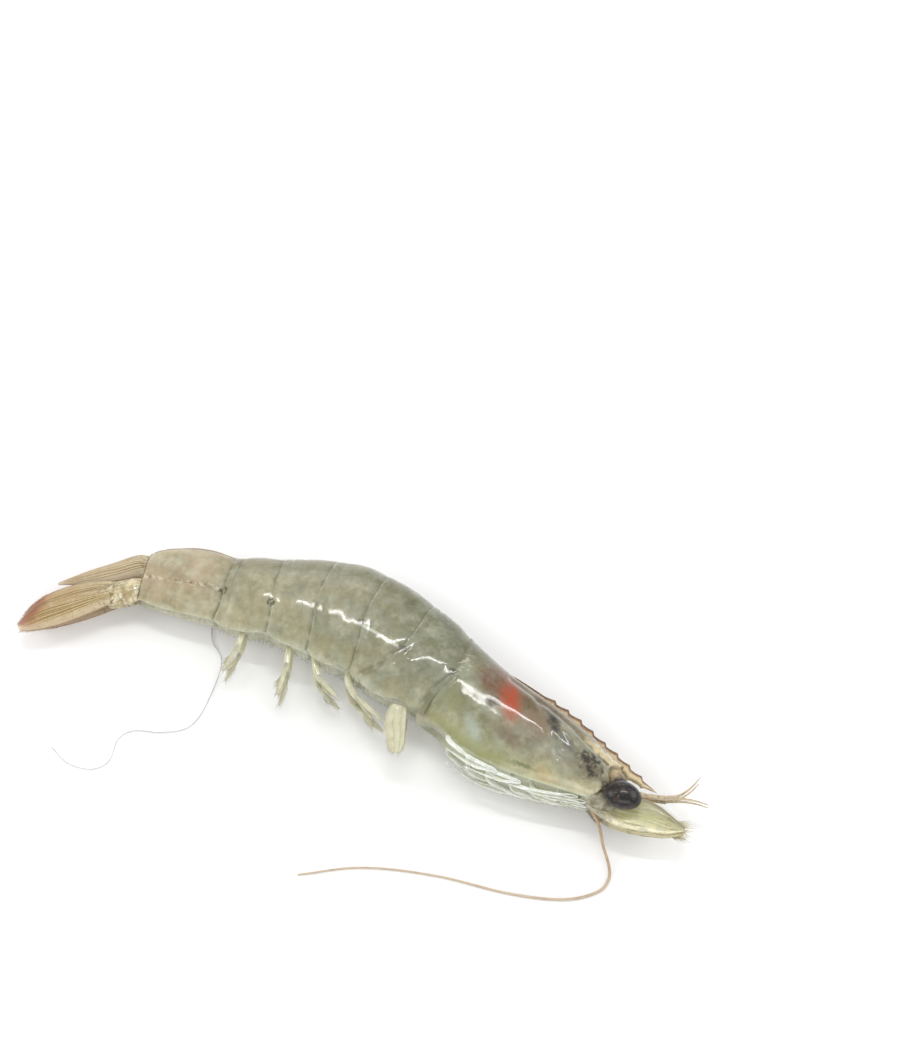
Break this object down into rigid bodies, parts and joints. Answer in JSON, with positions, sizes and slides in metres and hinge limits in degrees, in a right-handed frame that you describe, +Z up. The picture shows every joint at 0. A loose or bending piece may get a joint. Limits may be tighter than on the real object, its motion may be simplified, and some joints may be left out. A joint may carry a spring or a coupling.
{
  "type": "raw shrimp",
  "caption": "Whole raw shrimp with head, shell, legs, tail fan and long whiskers, lying on its left side with its body in a slow bend.",
  "frame": {"origin": "on the surface the shrimp lies on, under the middle of its bounding box", "axes": "+X from the tail towards the head, +Y towards the animal's back, +Z up, out of its right side"},
  "size_m": [0.1538, 0.0804, 0.0167],
  "materials": {
    "shell": "wet gloss",
    "tail_shell": "wet gloss",
    "limb": "wet satin",
    "tail_fan": "wet gloss",
    "eye": "gloss",
    "head_scale": "wet satin",
    "whisker": "satin"
  },
  "bodies": {
    "root": {"carapace": "shell", "abdomen_1": "shell", "abdomen_2": "shell", "abdomen_3": "shell", "abdomen_4": "shell", "abdomen_5": "shell", "abdomen_6": "tail_shell", "telson": "tail_shell", "uropod_stem_right": "tail_shell", "uropod_stem_left": "tail_shell", "uropod_outer_right": "tail_fan", "uropod_outer_left": "tail_fan", "uropod_inner_right": "tail_fan", "uropod_inner_left": "tail_fan", "eye_right": "eye", "eye_left": "eye", "head_scale_right": "head_scale", "head_scale_left": "head_scale", "feeler_right": "head_scale", "feeler_left": "head_scale", "whisker_right": "whisker", "whisker_left": "whisker", "mouth_leg_right": "limb", "mouth_leg_left": "limb", "leg_1_right": "limb", "leg_1_left": "limb", "leg_2_right": "limb", "leg_2_left": "limb", "leg_3_right": "limb", "leg_3_left": "limb", "leg_4_right": "limb", "leg_4_left": "limb", "leg_5_right": "limb", "leg_5_left": "limb", "swimmeret_1_right": "limb", "swimmeret_1_left": "limb", "swimmeret_2_right": "limb", "swimmeret_2_left": "limb", "swimmeret_3_right": "limb", "swimmeret_3_left": "limb", "swimmeret_4_right": "limb", "swimmeret_4_left": "limb", "swimmeret_5_right": "limb", "swimmeret_5_left": "limb"}
  },
  "joints": []
}
